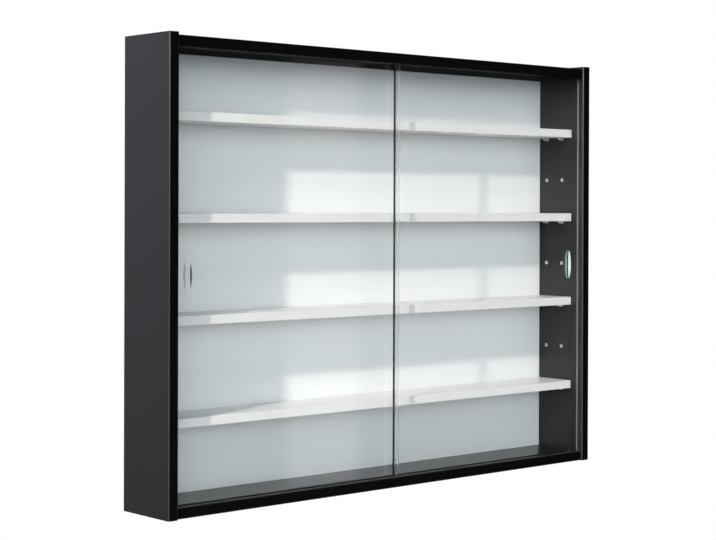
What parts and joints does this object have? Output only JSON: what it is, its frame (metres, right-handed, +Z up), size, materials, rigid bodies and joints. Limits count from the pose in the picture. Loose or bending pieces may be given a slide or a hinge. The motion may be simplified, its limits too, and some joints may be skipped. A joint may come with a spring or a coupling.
{
  "type": "wall display cabinet",
  "caption": "Shallow black wall cabinet for small collections: white back, white shelves on pins, and two clear glass doors that slide past each other in tracks.",
  "frame": {"origin": "half way between the round holes of the two keyhole hangers, on the rear plane that lies against the wall", "axes": "+X across to the right as seen from the front, +Y from the front to the wall, +Z up"},
  "size_m": [0.8, 0.095, 0.6],
  "materials": {
    "black_board": "satin melamine on chipboard",
    "black_edging": "satin strip with rounded corners",
    "white_board": "white melamine on chipboard",
    "white_edging": "white strip",
    "white_hardboard": "white lacquer in front, brown behind",
    "black_plastic": "extruded, satin",
    "clear_glass": "toughened, ground edges",
    "plated_steel": "nickel plated",
    "zinc_plated_steel": "bright zinc",
    "cast_zinc": "bare die-cast zinc",
    "beech": "fluted beech, bare"
  },
  "bodies": {
    "cabinet": {"left_side_panel": "black_board", "right_side_panel": "black_board", "left_side_edging": "black_edging", "right_side_edging": "black_edging", "top_panel": "black_board", "bottom_panel": "black_board", "top_edging": "black_edging", "bottom_edging": "black_edging", "back_panel": "white_hardboard", "upper_track": "black_plastic", "lower_track": "black_plastic", "left_hanger": "zinc_plated_steel", "right_hanger": "zinc_plated_steel", "left_hanger_screws": "zinc_plated_steel", "right_hanger_screws": "zinc_plated_steel", "lower_dowels": "beech", "lower_cam_bolts": "zinc_plated_steel", "lower_cam_locks": "cast_zinc", "upper_dowels": "beech", "upper_cam_bolts": "zinc_plated_steel", "upper_cam_locks": "cast_zinc", "shelf_1_pins": "plated_steel", "shelf_2_pins": "plated_steel", "shelf_3_pins": "plated_steel", "shelf_4_pins": "plated_steel"},
    "left_door": {"left_glass_door": "clear_glass"},
    "right_door": {"right_glass_door": "clear_glass"},
    "shelf_1": {"shelf_1": "white_board", "shelf_1_edging": "white_edging"},
    "shelf_2": {"shelf_2": "white_board", "shelf_2_edging": "white_edging"},
    "shelf_3": {"shelf_3": "white_board", "shelf_3_edging": "white_edging"},
    "shelf_4": {"shelf_4": "white_board", "shelf_4_edging": "white_edging"}
  },
  "joints": [
    {"name": "right_door_slide", "type": "slide", "parent": "cabinet", "child": "right_door", "axis": [-1, 0, 0], "range_m": [0, 0.378]},
    {"name": "left_door_slide", "type": "slide", "parent": "cabinet", "child": "left_door", "axis": [1, 0, 0], "range_m": [0, 0.378]},
    {"name": "shelf_1_lift", "type": "slide", "parent": "cabinet", "child": "shelf_1", "axis": [0, 0, 1], "range_m": [0, 0.075]},
    {"name": "shelf_2_lift", "type": "slide", "parent": "cabinet", "child": "shelf_2", "axis": [0, 0, 1], "range_m": [0, 0.11]},
    {"name": "shelf_3_lift", "type": "slide", "parent": "cabinet", "child": "shelf_3", "axis": [0, 0, 1], "range_m": [0, 0.11]},
    {"name": "shelf_4_lift", "type": "slide", "parent": "cabinet", "child": "shelf_4", "axis": [0, 0, 1], "range_m": [0, 0.11]}
  ]
}
